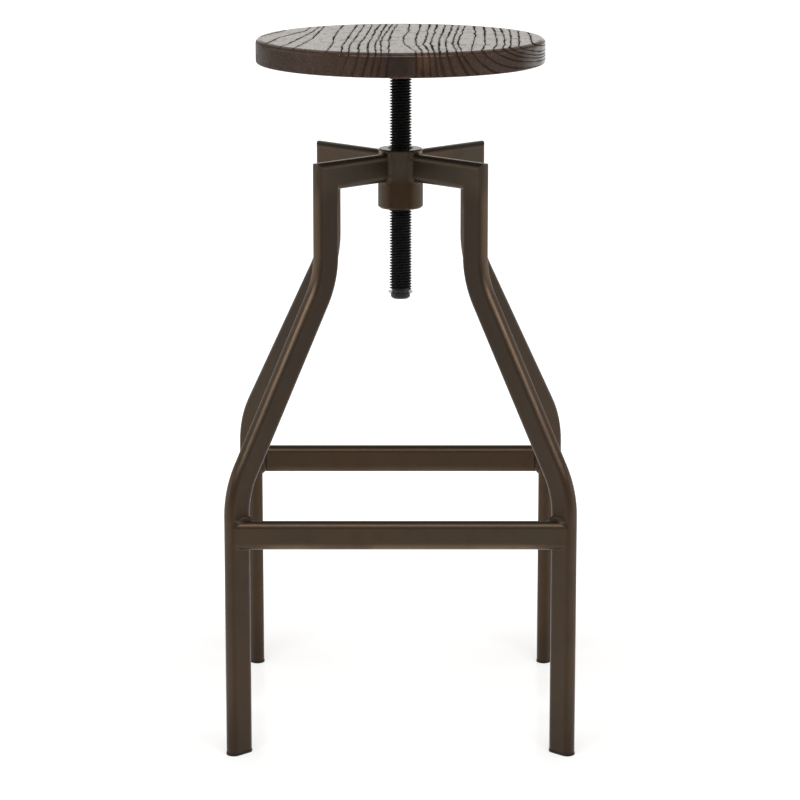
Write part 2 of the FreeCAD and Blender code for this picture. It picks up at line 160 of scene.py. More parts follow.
# Welds: steps across a bead, points closer than this in m become one, and how much ripples add to its fullness.
BEAD_STEPS, SAME_POINT = 9, 1e-6
RIPPLE, FINE_RIPPLE = 0.16, 0.08
# How deep a bead's toes and its root lie inside the tube, its root inside the hub, and the root's shift along x and y
# away from a leg, in mm.
TOE_SINK, ROOT_DEPTH, HUB_ROOT, RAIL_ROOT = 0.03, 0.9, 1.2, (-0.8, 0.4)
# At the hub: the part below its rim that stays free, in mm, and how full the bead is.
HUB_RIM, HUB_FILL = 1.7, 0.16
# At a rail: how far a face is turned to count as side or top; a bead's size as a share of the weld leg, plain and
# what is added on top and inside; its fullness, plain and what is added outside, inside and on top; its climb up the
# leg, plain and what is taken off towards the outside; how much shorter it runs along the rail outside.
SIDE_TURN, TOP_TURN = (0.25, 0.85), (0.2, 0.9)
RAIL_SIZE, RAIL_FILL = (0.75, 0.6, 0.5), (0.3, 0.73, 1.0, 0.25)
RAIL_CLIMB, RAIL_SHORTER = (0.8, 0.6), 0.2

# White room, by direction: top of the bright wall, its front end, and the side walls' front edge, foot and top.
WALL_TOP, WALL_FRONT = (0.11, 0.22), (-0.45, -0.05)
SIDE_FROM, SIDE_FOOT, SIDE_TOP = (0.72, 0.90), (-0.02, 0.05), (0.38, 0.52)
UPPER_WALL, FRONT_WALL, SIDE_WALL = 0.48, 0.30, 1.3
ROOM_TINT = (1.0, 0.975, 0.93)

# Floor: half its side in m, its white and its sheen with the sheen's roughness and share.
FLOOR_REACH = 30.0
FLOOR_WHITE, FLOOR_SHEEN, SHEEN_ROUGHNESS, SHEEN_SHARE = (0.80, 0.80, 0.80), (0.28, 0.28, 0.28), 0.16, 0.5
# Light that it gives to the camera beside a foot, what is added away from the feet, and over which span in m.
NEAR_GLOW, FAR_GLOW, FAR_SPAN = 0.525, 0.4, (0.05, 0.5)
# Light that it gives to the metal, what a wedge in front takes off, the wedge's slope and its span in m.
METAL_GLOW, WEDGE_SHADE, WEDGE_SLOPE, WEDGE_SPAN = 0.75, 0.38, 1.3, (-0.2, 1.5)

# Lamps: name, place, aim and size in m, power in W. Camera: place, tilt below level, focal length and sensor in mm.
SOFTBOXES = (
    ("softbox_over", (0.0, -1.60, 2.14), (0.0, 0.0, 0.3), (3.0, 1.0), 68.0),
    ("softbox_left", (-2.2, -0.6, 0.95), (0.0, 0.0, 0.6), (1.2, 1.8), 3.0),
    ("softbox_right", (2.2, -0.6, 0.95), (0.0, 0.0, 0.6), (1.2, 1.8), 3.0),
)
CAMERA_PLACE, CAMERA_TILT = (-0.0006, -3.73097, 1.16747), 0.21236
FOCAL_LENGTH, SENSOR_WIDTH = 150.30, 36.0


class StoolSizes(bpy.types.PropertyGroup):
    thread_pitch: bpy.props.FloatProperty(
        name="Thread pitch", description="Rise of the seat in one turn of the screw",
        default=0.003175, unit="LENGTH", precision=6)
    thread_root: bpy.props.FloatProperty(
        name="Thread root", description="Diameter at the bottom of the thread",
        default=0.0190, unit="LENGTH", precision=5)
    grain_depth: bpy.props.FloatProperty(
        name="Grain depth", description="Depth that brushing leaves along a growth ring",
        default=0.0004, unit="LENGTH", precision=5)
    weld_leg: bpy.props.FloatProperty(
        name="Weld leg", description="How far a weld runs out along each of the two faces it joins",
        default=0.0042, unit="LENGTH", precision=5)


class StoolColours(bpy.types.PropertyGroup):
    wood_dark: bpy.props.FloatVectorProperty(
        name="Dark wood", description="Stain in the soft wood between the rings",
        default=(0.030, 0.017, 0.011), subtype="COLOR", min=0.0, max=1.0)
    wood_light: bpy.props.FloatVectorProperty(
        name="Light wood", description="Stain on the hard wood",
        default=(0.056, 0.034, 0.023), subtype="COLOR", min=0.0, max=1.0)
    wood_warm: bpy.props.FloatVectorProperty(
        name="Warm wood", description="Streak beside the heart of the tree, seen on the rim",
        default=(0.120, 0.056, 0.026), subtype="COLOR", min=0.0, max=1.0)
    wood_bare: bpy.props.FloatVectorProperty(
        name="Bare wood", description="Thinly stained underside of the seat",
        default=(0.26, 0.17, 0.115), subtype="COLOR", min=0.0, max=1.0)
    grain: bpy.props.FloatVectorProperty(
        name="Open grain", description="Stain lying in the brushed grain",
        default=(0.010, 0.007, 0.006), subtype="COLOR", min=0.0, max=1.0)
    bronze_brown: bpy.props.FloatVectorProperty(
        name="Brown bronze", description="Warm patches of the metal finish",
        default=(0.050, 0.0335, 0.0225), subtype="COLOR", min=0.0, max=1.0)
    bronze_olive: bpy.props.FloatVectorProperty(
        name="Olive bronze", description="Cooler patches of the metal finish",
        default=(0.043, 0.0340, 0.0240), subtype="COLOR", min=0.0, max=1.0)
    screw_black: bpy.props.FloatVectorProperty(
        name="Screw black", description="Blackened steel of the seat screw",
        default=(0.004, 0.004, 0.004), subtype="COLOR", min=0.0, max=1.0)
    bright_steel: bpy.props.FloatVectorProperty(
        name="Bright steel", description="Plated steel of the clip and the wood screws",
        default=(0.80, 0.79, 0.77), subtype="COLOR", min=0.0, max=1.0)
    cap_black: bpy.props.FloatVectorProperty(
        name="Cap black", description="Plastic of the foot caps",
        default=(0.004, 0.004, 0.004), subtype="COLOR", min=0.0, max=1.0)


class Flow:
    """A value on its way through a node tree; sums on it add Math nodes."""

    def __init__(self, nodes, socket):
        self.nodes = nodes
        self.socket = socket

    def math(self, operation, first, second=0.0):
        return self.nodes.make("ShaderNodeMath", {"operation": operation}, {0: first, 1: second})

    def __add__(self, other):
        return self.math("ADD", self, other)

    def __sub__(self, other):
        return self.math("SUBTRACT", self, other)

    def __rsub__(self, other):
        return self.math("SUBTRACT", other, self)

    def __mul__(self, other):
        return self.math("MULTIPLY", self, other)

    def __abs__(self):
        return self.math("ABSOLUTE", self)

    __radd__ = __add__
    __rmul__ = __mul__


class Nodes:
    """A node tree, and the one way in which its nodes are made."""

    def __init__(self, tree):
        self.tree = tree

    def make(self, kind, settings=None, sockets=None, output=0):
        node = self.tree.nodes.new(kind)
        for name, value in (settings or {}).items():
            setattr(node, name, value)
        for name, value in (sockets or {}).items():
            if isinstance(value, Flow):
                self.tree.links.new(value.socket, node.inputs[name])
            else:
                node.inputs[name].default_value = value
        if not node.outputs:
            return None
        return Flow(self, node.outputs[output])

    def axis(self, vector, name):
        return self.make("ShaderNodeSeparateXYZ", {}, {0: vector}, output=name)

    def step(self, value, low, high):
        """Rises smoothly from 0 at the low value to 1 at the high one."""
        return self.make("ShaderNodeMapRange", {"interpolation_type": "SMOOTHSTEP"},
                         {"Value": value, "From Min": low, "From Max": high})

    def band(self, value, start, full, fade, end):
        """Rises to 1 between start and full, and falls back to 0 between fade and end."""
        return self.step(value, start, full) * (1.0 - self.step(value, fade, end))


class Finish(Nodes):
    """A procedural material."""

    def __init__(self, name):
        self.material = bpy.data.materials.new(name)
        self.material.use_nodes = True
        super().__init__(self.material.node_tree)
        self.tree.nodes.clear()
        self.place = self.make("ShaderNodeTexCoord", output="Object")

    def attribute(self, name):
        return self.make("ShaderNodeAttribute", {"attribute_name": name}, output="Fac")

    def noise(self, stretch, detail=3.0, roughness=0.55):
        spot = self.make("ShaderNodeMapping", {}, {"Vector": self.place, "Scale": stretch})
        return self.make("ShaderNodeTexNoise", {},
                         {"Vector": spot, "Scale": 1.0, "Detail": detail, "Roughness": roughness})

    def mix(self, factor, first, second):
        return self.make("ShaderNodeMix", {"data_type": "RGBA"},
                         {0: factor, 6: first, 7: second}, output=2)

    def bump(self, height, distance):
        return self.make("ShaderNodeBump", {}, {"Strength": 1.0, "Distance": distance, "Height": height})

    def surface(self, **sockets):
        named = {name.replace("_", " "): value for name, value in sockets.items()}
        shader = self.make("ShaderNodeBsdfPrincipled", {}, named)
        self.make("ShaderNodeOutputMaterial", {}, {"Surface": shader})
        return self.material


def colour(values, scale=1.0):
    return (*(scale * part for part in values), 1.0)


def wood_finish(colours):
    wood = Finish("brushed_wood")
    east, height = wood.axis(wood.place, "X"), wood.axis(wood.place, "Z")
    wander = wood.noise((70.0, 22.0, 70.0), 2.0)
    fibre = wood.noise((900.0, 28.0, 420.0), 3.0)
    cloud = wood.noise((16.0, 9.0, 30.0), 3.0)
    patch = wood.noise((34.0, 48.0, 34.0), 2.0)
    mottle = wood.noise((95.0, 48.0, 95.0), 4.0, 0.7)
    top = wood.step(height, *SEAT_LACQUER)
    rim = 1.0 - top
    # Growth rings are dark lines of uneven width in bands of darker late wood, and fade out to the left of the rim.
    ring = wood.attribute("ring")
    distance = ring.math("PINGPONG", ring, 0.5) * wood.attribute("ring_gap")
    width = wander * 2.7 - 0.2
    shown = top + rim * wood.step(east, *RIM_RINGS)
    line = (1.0 - wood.step(distance, width * 0.5, width * 1.25)) * shown
    line = line * (0.72 + 0.28 * wood.step(patch, 0.36, 0.56))
    late = 1.0 - wood.step(distance, 0.4, 3.6)
    base = wood.mix(wood.step(fibre, 0.3, 0.7), colour(colours.wood_dark), colour(colours.wood_light))
    shaded = late * shown * 0.45 + wood.step(cloud, 0.45, 0.8) * 0.35
    streak = wood.band(east, *RIM_STREAK) * rim * wood.step(height, *STREAK_FOOT)
    heart = wood.band(east, *RIM_HEART) * rim
    for share, stain in (
            (shaded, colours.wood_dark),
            (streak * (0.1 + 0.4 * wood.step(patch, 0.4, 0.6)), colours.wood_warm),
            (heart * 0.5 + rim * 0.3, colours.grain),
            (line * (top * 0.5 + 0.45), colours.grain),
            (1.0 - wood.step(height, *SEAT_BARE), colours.wood_bare)):
        base = wood.mix(share, base, colour(stain))
    # Lacquer lies full on the top, thin on the rim and in the grain, and is rubbed off the eased edge.
    coat = (1.0 - line * 0.97) * (0.85 + 0.15 * wood.step(fibre, 0.25, 0.6))
    coat = coat * (1.0 - 0.36 * wood.step(mottle, 0.48, 0.7)) * (1.0 - 0.14 * late)
    coat = coat * (top + rim * (0.27 + 0.7 * wood.step(east, *RIM_GLOSS)))
    coat = coat * (1.0 - 0.85 * wood.step(height, *SEAT_DULL) * rim)
    return wood.surface(Base_Color=base, Roughness=0.9, Specular_IOR_Level=0.0, Coat_Weight=coat,
                        Coat_Roughness=0.15, Coat_IOR=1.5, Normal=wood.bump(fibre * 0.3 - line, 0.00012))


def bronze_finish(colours):
    bronze = Finish("bronze_finish")
    east, north, height = (bronze.axis(bronze.place, name) for name in "XYZ")
    aside, along = abs(east), abs(north)
    across = abs(aside - along)
    cloud = bronze.noise((11.0, 11.0, 8.0), 3.0)
    blotch = bronze.noise((55.0, 55.0, 40.0), 4.0)
    speck = bronze.noise((1400.0, 1400.0, 1400.0), 2.0)
    leg = bronze.step(aside, *LEG_FROM) * (1.0 - bronze.step(height, *LEG_TOP))
    leg = leg * (1.0 - bronze.step(across, *LEG_SIDE))
    broad = leg * bronze.step(across, *LEG_BROAD)
    high, low = bronze.step(height, *LEG_HIGH), 1.0 - bronze.step(height, *LEG_LOW)
    rear = bronze.step(north, *REAR)
    hub = (1.0 - bronze.step(aside, *HUB_MIDDLE)) * (1.0 - low) * (1.0 - bronze.step(height, *HUB_LOWER))
    rail = (1.0 - bronze.step(aside, *RAIL_SPAN)) * bronze.step(along, *RAIL_FROM)
    rail = rail * (1.0 - bronze.step(height, *RAIL_EDGE)) * (1.0 - 0.75 * rear)
    hub_top_and_arm_highlight = bronze.step(height, *HUB_TOP)
    hub_top_and_arm_highlight = hub_top_and_arm_highlight + (1.0 - hub_top_and_arm_highlight) * bronze.step(height, *ARM_TOP_HIGHLIGHT) * bronze.step(aside, *ARM_FROM)
    brown, olive = colours.bronze_brown, colours.bronze_olive
    warm = tuple(share * part for share, part in zip((0.80, 0.66, 0.50), brown))
    base = bronze.mix(bronze.step(cloud, 0.36, 0.64), colour(brown), colour(olive))
    for share, paint in (
            (bronze.step(blotch, 0.45, 0.75) * 0.5, colour(brown, 0.72)),
            # The legs' narrow sides carry a painted highlight and the broad sides painted shade, most of all high up.
            ((leg - broad) * (0.1 + 0.6 * high), colour(brown, 1.6)),
            (broad * (0.42 + 0.28 * high), colour(brown, 0.5)),
            # Low down the finish is painted darker and browner as painted shade, more so behind, and the hub's lower
            # end gets painted shade.
            (low * (0.25 + 0.35 * rear), colour(warm)),
            (hub * 0.9, colour(warm, 0.76)),
            # The rails carry a painted highlight along their lower edge, and the legs get painted shade towards the
            # floor.
            (rail * (0.25 + 0.6 * bronze.step(cloud, 0.4, 0.6)), colour(brown, 2.4)),
            ((1.0 - bronze.step(height, *LEG_FLOOR_SHADE)) * 0.8, colour(brown, 0.5)),
            # The hub's top is painted lighter and glossier, and the arms' tops carry a painted highlight.
            (hub_top_and_arm_highlight, colour(olive, 2.2))):
        base = bronze.mix(share, base, paint)
    roughness = (0.32 + blotch * 0.14 + speck * 0.06) * (1.0 - 0.55 * hub_top_and_arm_highlight)
    return bronze.surface(Base_Color=base, Metallic=0.92, Roughness=roughness,
                          Normal=bronze.bump(speck, 0.00001))


def screw_finish(colours):
    black = Finish("blackened_steel")
    smear = black.noise((160.0, 160.0, 60.0), 3.0)
    speck = black.noise((1600.0, 1600.0, 1600.0), 2.0)
    worn = tuple(part + 0.008 for part in colours.screw_black)
    base = black.mix(black.step(smear, 0.5, 0.8), colour(colours.screw_black), colour(worn))
    return black.surface(Base_Color=base, Roughness=0.28 + smear * 0.25, Specular_IOR_Level=0.25,
                         Normal=black.bump(speck, 0.00001))


def steel_finish(colours):
    steel = Finish("plated_steel")
    scratch = steel.noise((2200.0, 2200.0, 300.0), 2.0)
    stain = steel.noise((240.0, 240.0, 240.0), 3.0)
    base = steel.mix(steel.step(stain, 0.45, 0.8), colour(colours.bright_steel),
                     colour(colours.bright_steel, 0.7))
    return steel.surface(Base_Color=base, Metallic=1.0, Roughness=0.16 + scratch * 0.2,
                         Normal=steel.bump(scratch, 0.000008))


def cap_finish(colours):
    cap = Finish("cap_plastic_black")
    grain = cap.noise((1100.0, 1100.0, 1100.0), 2.0)
    scuff = cap.noise((130.0, 130.0, 260.0), 4.0)
    grey = tuple(part + 0.008 for part in colours.cap_black)
    base = cap.mix(cap.step(scuff, 0.55, 0.8), colour(colours.cap_black), colour(grey))
    return cap.surface(Base_Color=base, Roughness=0.5 + scuff * 0.25, Specular_IOR_Level=0.2,
                       Normal=cap.bump(grain, 0.00002))


def dress(finish, *names):
    for name in names:
        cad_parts[name].data.materials[0] = finish


def face_outward(mesh, merge=0.0):
    """Turns every face outward, after merging points closer than the given length."""
    shape = bmesh.new()
    shape.from_mesh(mesh)
    if merge:
        bmesh.ops.remove_doubles(shape, verts=shape.verts, dist=merge)
    bmesh.ops.recalc_face_normals(shape, faces=shape.faces)
    shape.to_mesh(mesh)
    shape.free()
    mesh.shade_smooth()
    return mesh


def new_piece(name, mesh, finish, body):
    piece = bpy.data.objects.new(name, mesh)
    bpy.context.scene.collection.objects.link(piece)
    mesh.materials.clear()
    mesh.materials.append(finish)
    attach(piece, body)
    return piece


def ring_number(x, y, depth):
    """Growth ring reached at a point of the board, and the room from it to the next, in mm."""
    lean = np.where(x > 0, RIGHT_LEAN * x * x, LEFT_LEAN * x)
    across = x - lean * depth
    stations = np.array(RING_STATIONS, float)
    lines = np.sort(np.array([np.interp(y, stations, row) for row in RING_LINES]), axis=0)
    below = np.clip((lines < across).sum(axis=0) - 1, 0, len(RING_LINES) - 2)
    column = np.arange(len(across))
    start = lines[below, column]
    gap = np.maximum(lines[below + 1, column] - start, 1.0)
    return below + (across - start) / gap, gap


def seat_mesh(depth):
    """Round board as a fine grid, its rings brushed out by up to the given depth."""
    radius = SEAT_HIGH.x / MM
    top, low = SEAT_HIGH.z / MM, SEAT_LOW.z / MM
    turns = np.linspace(-math.pi / 2, math.pi / 2, SEAT_COLUMNS + 1)
    around = 2 * SEAT_COLUMNS
    points, normals, faces = [], [], []
    # Levels of the rim from the top down: radius, height and the outward direction.
    rims = []
    for angle in np.linspace(0.0, math.pi / 2, ROUND_LEVELS):
        out, up = math.sin(angle), math.cos(angle)
        rims.append((radius - SEAT_ROUND + SEAT_ROUND * out, top - SEAT_ROUND + SEAT_ROUND * up, out, up))
    for height in np.linspace(top - SEAT_ROUND, low + SEAT_LOW_ROUND, STRAIGHT_LEVELS)[1:-1]:
        rims.append((radius, height, 1.0, 0.0))
    for angle in np.linspace(0.0, math.pi / 2, LOW_ROUND_LEVELS):
        out, up = math.cos(angle), -math.sin(angle)
        rims.append((radius - SEAT_LOW_ROUND + SEAT_LOW_ROUND * out, low + SEAT_LOW_ROUND + SEAT_LOW_ROUND * up,
                     out, up))
    for reach, height, out, up in rims:
        for step in range(around):
            turn = -math.pi / 2 + math.pi * step / SEAT_COLUMNS
            points.append((reach * math.sin(turn), -reach * math.cos(turn), height))
            normals.append((out * math.sin(turn), -out * math.cos(turn), up))
    for ring in range(len(rims) - 1):
        for step in range(around):
            a, b = ring * around + step, ring * around + (step + 1) % around
            faces.append((a, b, b + around, a + around))

    def close(rim, facing, rows):
        """Fills the rim's ring with a grid of strips from front to back."""
        flat, height = rims[rim][:2]
        start = len(points)
        for turn in turns[1:-1]:
            for share in np.linspace(-1.0, 1.0, rows + 1)[1:-1]:
                points.append((flat * math.sin(turn), flat * math.cos(turn) * share, height))
                normals.append((0.0, 0.0, facing))

        def corner(column, row):
            if row == 0 or column in (0, SEAT_COLUMNS):
                return rim * around + column
            if row == rows:
                return rim * around + (around - column) % around
            return start + (column - 1) * (rows - 1) + row - 1

        for column in range(SEAT_COLUMNS):
            for row in range(rows):
                loop = [corner(column, row), corner(column + 1, row),
                        corner(column + 1, row + 1), corner(column, row + 1)]
                loop = [spot for place, spot in enumerate(loop) if spot != loop[place - 1]]
                if len(set(loop)) > 2:
                    faces.append(tuple(loop))

    close(0, 1.0, SEAT_ROWS)
    close(len(rims) - 1, -1.0, SEAT_LOW_ROWS)
    points, normals = np.array(points), np.array(normals)
    wobble = np.array([
        noise.noise(Vector((x / WAVE[0], y / WAVE[1], z / WAVE[2])))
        + FINE_WOBBLE * noise.noise(Vector((x / FINE_WAVE[0], y / FINE_WAVE[1], FINE_SEED)))
        for x, y, z in points])
    ring, gap = ring_number(points[:, 0] + WOBBLE * wobble, points[:, 1], top - points[:, 2])
    distance = np.abs(ring - np.round(ring)) * gap
    groove = np.exp(-(distance / GROOVE_WIDTH) ** 2) * np.where(normals[:, 2] > LOOKS_UP, 1.0, RIM_GROOVE)
    points = (points - normals * (groove * depth / MM)[:, None]) * MM
    mesh = bpy.data.meshes.new("seat_board")
    mesh.from_pydata([tuple(point) for point in points], [], faces)
    for name, values in (("ring", ring), ("ring_gap", gap)):
        layer = mesh.attributes.new(name, "FLOAT", "POINT")
        layer.data.foreach_set("value", values.astype(np.float32))
    return face_outward(mesh)


def turned(profile, steps=72):
    """Points and faces of a solid turned about the upright axis, from (radius, height) pairs, low to high."""
    points, faces = [], []
    for reach, height in profile:
        for step in range(steps):
            turn = 2 * math.pi * step / steps
            points.append((reach * math.cos(turn), reach * math.sin(turn), height))
    for ring in range(len(profile) - 1):
        for step in range(steps):
            a, b = ring * steps + step, ring * steps + (step + 1) % steps
            faces.append((a, b, b + steps, a + steps))
    faces.append(tuple(range(steps - 1, -1, -1)))
    last = (len(profile) - 1) * steps
    faces.append(tuple(range(last, last + steps)))
    return points, faces


def thread_tree():
    """Adds a right-handed helical ridge to the mesh it is given."""
    tree = bpy.data.node_groups.new("screw_thread", "GeometryNodeTree")
    face = tree.interface
    face.new_socket("Geometry", in_out="INPUT", socket_type="NodeSocketGeometry")
    for name in ("Pitch", "Root radius", "Crest radius", "Bottom", "Top"):
        face.new_socket(name, in_out="INPUT", socket_type="NodeSocketFloat")
    face.new_socket("Finish", in_out="INPUT", socket_type="NodeSocketMaterial")
    face.new_socket("Geometry", in_out="OUTPUT", socket_type="NodeSocketGeometry")
    thread = Nodes(tree)
    given = thread.make("NodeGroupInput").socket.node
    inputs = {socket.name: Flow(thread, socket) for socket in given.outputs if socket.name}
    height = inputs["Top"] - inputs["Bottom"]
    turns = height.math("DIVIDE", height, inputs["Pitch"])
    middle = (inputs["Root radius"] + inputs["Crest radius"]) * 0.5
    helix = thread.make("GeometryNodeCurveSpiral", {}, {
        "Resolution": RIDGE_STEPS, "Rotations": turns, "Start Radius": middle, "End Radius": middle,
        "Height": height, "Reverse": True})
    start = thread.make("ShaderNodeCombineXYZ", {}, {"Z": inputs["Bottom"]})
    helix = thread.make("GeometryNodeTransform", {}, {"Geometry": helix, "Translation": start})
    helix = thread.make("GeometryNodeSetCurveNormal", {"mode": "Z_UP"}, {"Curve": helix})
    ridge = thread.make("GeometryNodeCurvePrimitiveQuadrilateral", {"mode": "TRAPEZOID"}, {
        "Height": inputs["Crest radius"] - inputs["Root radius"],
        "Bottom Width": inputs["Pitch"] * RIDGE_FOOT, "Top Width": inputs["Pitch"] * RIDGE_CREST, "Offset": 0.0})
    ridge = thread.make("GeometryNodeTransform", {}, {"Geometry": ridge, "Rotation": (0.0, 0.0, -math.pi / 2)})
    swept = thread.make("GeometryNodeCurveToMesh", {}, {"Curve": helix, "Profile Curve": ridge, "Fill Caps": True})
    swept = thread.make("GeometryNodeSetShadeSmooth", {}, {"Geometry": swept, "Shade Smooth": False})
    joined = thread.make("GeometryNodeJoinGeometry", {}, {0: inputs["Geometry"]})
    tree.links.new(swept.socket, joined.socket.node.inputs[0])
    whole = thread.make("GeometryNodeRealizeInstances", {}, {"Geometry": joined})
    whole = thread.make("GeometryNodeSetMaterial", {}, {"Geometry": whole, "Material": inputs["Finish"]})
    thread.make("NodeGroupOutput", {}, {0: whole})
    return tree


def grown(name, mesh, tree, values):
    """Runs a geometry tree on a mesh and hands back what it makes as a plain mesh."""
    maker = bpy.data.objects.new(name + "_maker", mesh)
    bpy.context.scene.collection.objects.link(maker)
    modifier = maker.modifiers.new("maker", "NODES")
    modifier.node_group = tree
    for socket in tree.interface.items_tree:
        if socket.in_out == "INPUT" and socket.name in values:
            modifier[socket.identifier] = values[socket.name]
    depsgraph = bpy.context.evaluated_depsgraph_get()
    made = bpy.data.meshes.new_from_object(maker.evaluated_get(depsgraph), depsgraph=depsgraph)
    bpy.data.objects.remove(maker)
    made.name = name
    return made


def tube_outline(spacing=2.0, corner_steps=8):
    """Points round the tube's section with their outward directions, in mm, not farther apart than the spacing."""
    outline = []
    for side, up, first in ((1, 1, 0), (-1, 1, 90), (-1, -1, 180), (1, -1, 270)):
        centre = (side * (TUBE_THIN - TUBE_ROUND), up * (TUBE_BROAD - TUBE_ROUND))
        for step in range(corner_steps + 1):
            angle = math.radians(first + 90 * step / corner_steps)
            away = (math.cos(angle), math.sin(angle))
            outline.append((centre[0] + TUBE_ROUND * away[0], centre[1] + TUBE_ROUND * away[1], *away))
    full = []
    for place, spot in enumerate(outline):
        full.append(spot)
        after = outline[(place + 1) % len(outline)]
        length = math.dist(spot[:2], after[:2])
        extra = int(length / spacing)
        for step in range(1, extra + 1):
            share = step / (extra + 1)
            full.append(tuple(a + share * (b - a) for a, b in zip(spot, after)))
    return full


def weld_mesh(name, joints, seed):
    """Weld that runs round a joint. Each step has its toe on either face, the corner, how full it is and its root."""
    points, faces = [], []
    count = BEAD_STEPS + 1
    for place, (first, corner, second, fill, inside) in enumerate(joints):
        ripple = RIPPLE * noise.noise(Vector((place * 0.35, seed, 0.0))) + FINE_RIPPLE * math.sin(place * 1.9 + seed)
        pull = corner + (fill + ripple) * ((first + second) / 2 - corner)
        for share in np.linspace(0.0, 1.0, BEAD_STEPS):
            points.append((1 - share) ** 2 * first + 2 * share * (1 - share) * pull + share ** 2 * second)
        points.append(inside)
    total = len(joints)
    for place in range(total):
        after = (place + 1) % total
        for step in range(count):
            ahead = (step + 1) % count
            faces.append((place * count + step, place * count + ahead, after * count + ahead, after * count + step))
    mesh = bpy.data.meshes.new(name)
    mesh.from_pydata([tuple(point * MM) for point in points], [], faces)
    return face_outward(mesh, merge=SAME_POINT)


def hub_joint(side, leg):
    """Steps round the joint between an arm and the hub, in mm."""
    hub = HUB_HIGH.x / MM
    middle = (ARM_LOW.z + ARM_HIGH.z) / 2 / MM
    room = HUB_HIGH.z / MM - ARM_HIGH.z / MM - HUB_RIM
    out = np.array((side[0], side[1], 0.0)) / math.sqrt(2.0)
    across = np.array((-out[1], out[0], 0.0))
    upright = np.array((0.0, 0.0, 1.0))
    steps = []
    for wide, high, away, up in tube_outline():
        corner_reach = math.sqrt(hub ** 2 - wide ** 2)
        # Above the arm the bead has only the room up to the hub's rim.
        reach = leg if up < 0.5 else leg + (room - leg) * (up - 0.5) * 2
        second_wide = wide + leg * away
        second_high = high + reach * up
        start = across * wide + upright * (middle + high)
        first = start + out * (corner_reach + leg)
        second = across * second_wide + upright * (middle + second_high)
        second = second + out * (math.sqrt(hub ** 2 - second_wide ** 2) - TOE_SINK)
        facing = across * away + upright * up
        sunk = start - ROOT_DEPTH * facing + out * (corner_reach - HUB_ROOT)
        steps.append((first - TOE_SINK * facing, start + out * corner_reach, second, HUB_FILL, sunk))
    return steps


def blend(value, low, high):
    """Smooth step from 0 at the low value to 1 at the high one."""
    share = min(max((value - low) / (high - low), 0.0), 1.0)
    return share * share * (3.0 - 2.0 * share)


def rail_joint(side, leg):
    """Steps round the joint between a rail's end and a leg's broad face, in mm."""
    root_two = math.sqrt(2.0)
    centre = (FOOT_LOW.x + FOOT_HIGH.x) / 2 / MM
    middle = np.array((0.0, (RAIL_LOW.y + RAIL_HIGH.y) / 2, (RAIL_LOW.z + RAIL_HIGH.z) / 2)) / MM
    flat = TUBE_BROAD - TUBE_ROUND
    outermost = flat + TUBE_ROUND / root_two

    def on_leg(along, height):
        """Point of the leg's surface, by its place along the broad side."""
        over = min(max(abs(along) - flat, 0.0), TUBE_ROUND)
        proud = TUBE_THIN - TUBE_ROUND + math.sqrt(TUBE_ROUND ** 2 - over ** 2) - TOE_SINK
        return np.array((centre + (along - proud) / root_two, centre + (along + proud) / root_two, height))

    steps = []
    for wide, high, away, up in tube_outline():
        # The rear right joint is worked out and then mirrored; the leg's face stands at 45 degrees. The bead is
        # largest on top and inside, and runs out to the leg's edge on the outer side.
        outer, inner, top = blend(away, *SIDE_TURN), blend(-away, *SIDE_TURN), blend(up, *TOP_TURN)
        y, z = middle[1] + wide, middle[2] + high
        corner = np.array((y - TUBE_THIN * root_two, y, z))
        along = (corner[0] + corner[1] - 2 * centre) / root_two
        size = leg * np.dot(RAIL_SIZE, (1.0, top, inner))
        climb = size * np.dot(RAIL_CLIMB, (1.0, -wide / TUBE_THIN))
        run = size * (1.0 - RAIL_SHORTER * outer)
        first = corner - np.array((run, 0.0, 0.0)) - TOE_SINK * np.array((0.0, away, up))
        spread = along + size * away * (1.0 - outer) / root_two
        second = on_leg(spread + outer * (outermost - spread), z + up * climb)
        fill = np.dot(RAIL_FILL, (1.0, outer, inner, top))
        sunk = corner - ROOT_DEPTH * np.array((0.0, away, up)) - np.array((*RAIL_ROOT, 0.0))
        flip = np.array((side[0], side[1], 1.0))
        steps.append((first * flip, corner * flip, second * flip, fill, sunk * flip))
    return steps


class STOOL_OT_seat(bpy.types.Operator):
    """Round brushed board of the seat"""

    bl_idname = "stool.seat"
    bl_label = "Seat board"

    def execute(self, context):
        finish = wood_finish(context.scene.stool_colours)
        mesh = seat_mesh(context.scene.stool_sizes.grain_depth)
        piece = new_piece("seat_board", mesh, finish, "turning_seat")
        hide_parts("seat")
        return {"FINISHED"}


class STOOL_OT_screw(bpy.types.Operator):
    """Threaded spindle and the flange at its head"""

    bl_idname = "stool.screw"
    bl_label = "Seat screw"

    def execute(self, context):
        sizes = context.scene.stool_sizes
        finish = screw_finish(context.scene.stool_colours)
        dress(finish, "seat_flange")
        root, crest = sizes.thread_root / 2, SCREW_HIGH.x
        groove_low, groove_high = CLIP_LOW.z - CLIP_PLAY, CLIP_HIGH.z + CLIP_PLAY
        profile = [(NOSE_RADIUS - inwards, SCREW_LOW.z + upwards) for inwards, upwards in NOSE_ROUNDING]
        profile += [
            (NOSE_RADIUS, groove_low), (GROOVE_RADIUS, groove_low), (GROOVE_RADIUS, groove_high), (root, groove_high),
            (root, FLANGE_LOW.z), (STEM_RADIUS, FLANGE_LOW.z), (STEM_RADIUS, SCREW_HIGH.z)]
        points, faces = turned(profile)
        core = bpy.data.meshes.new("screw_core")
        core.from_pydata(points, [], faces)
        mesh = grown("screw_threaded", core, thread_tree(), {
            "Pitch": sizes.thread_pitch, "Root radius": root - RIDGE_SUNK, "Crest radius": crest - RIDGE_INSIDE,
            "Bottom": CLIP_HIGH.z + PLAIN_PART, "Top": FLANGE_LOW.z - sizes.thread_pitch / 2, "Finish": finish})
        mesh.set_sharp_from_angle(angle=math.radians(30))
        piece = new_piece("screw_threaded", mesh, finish, "turning_seat")
        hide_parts("spindle")
        return {"FINISHED"}


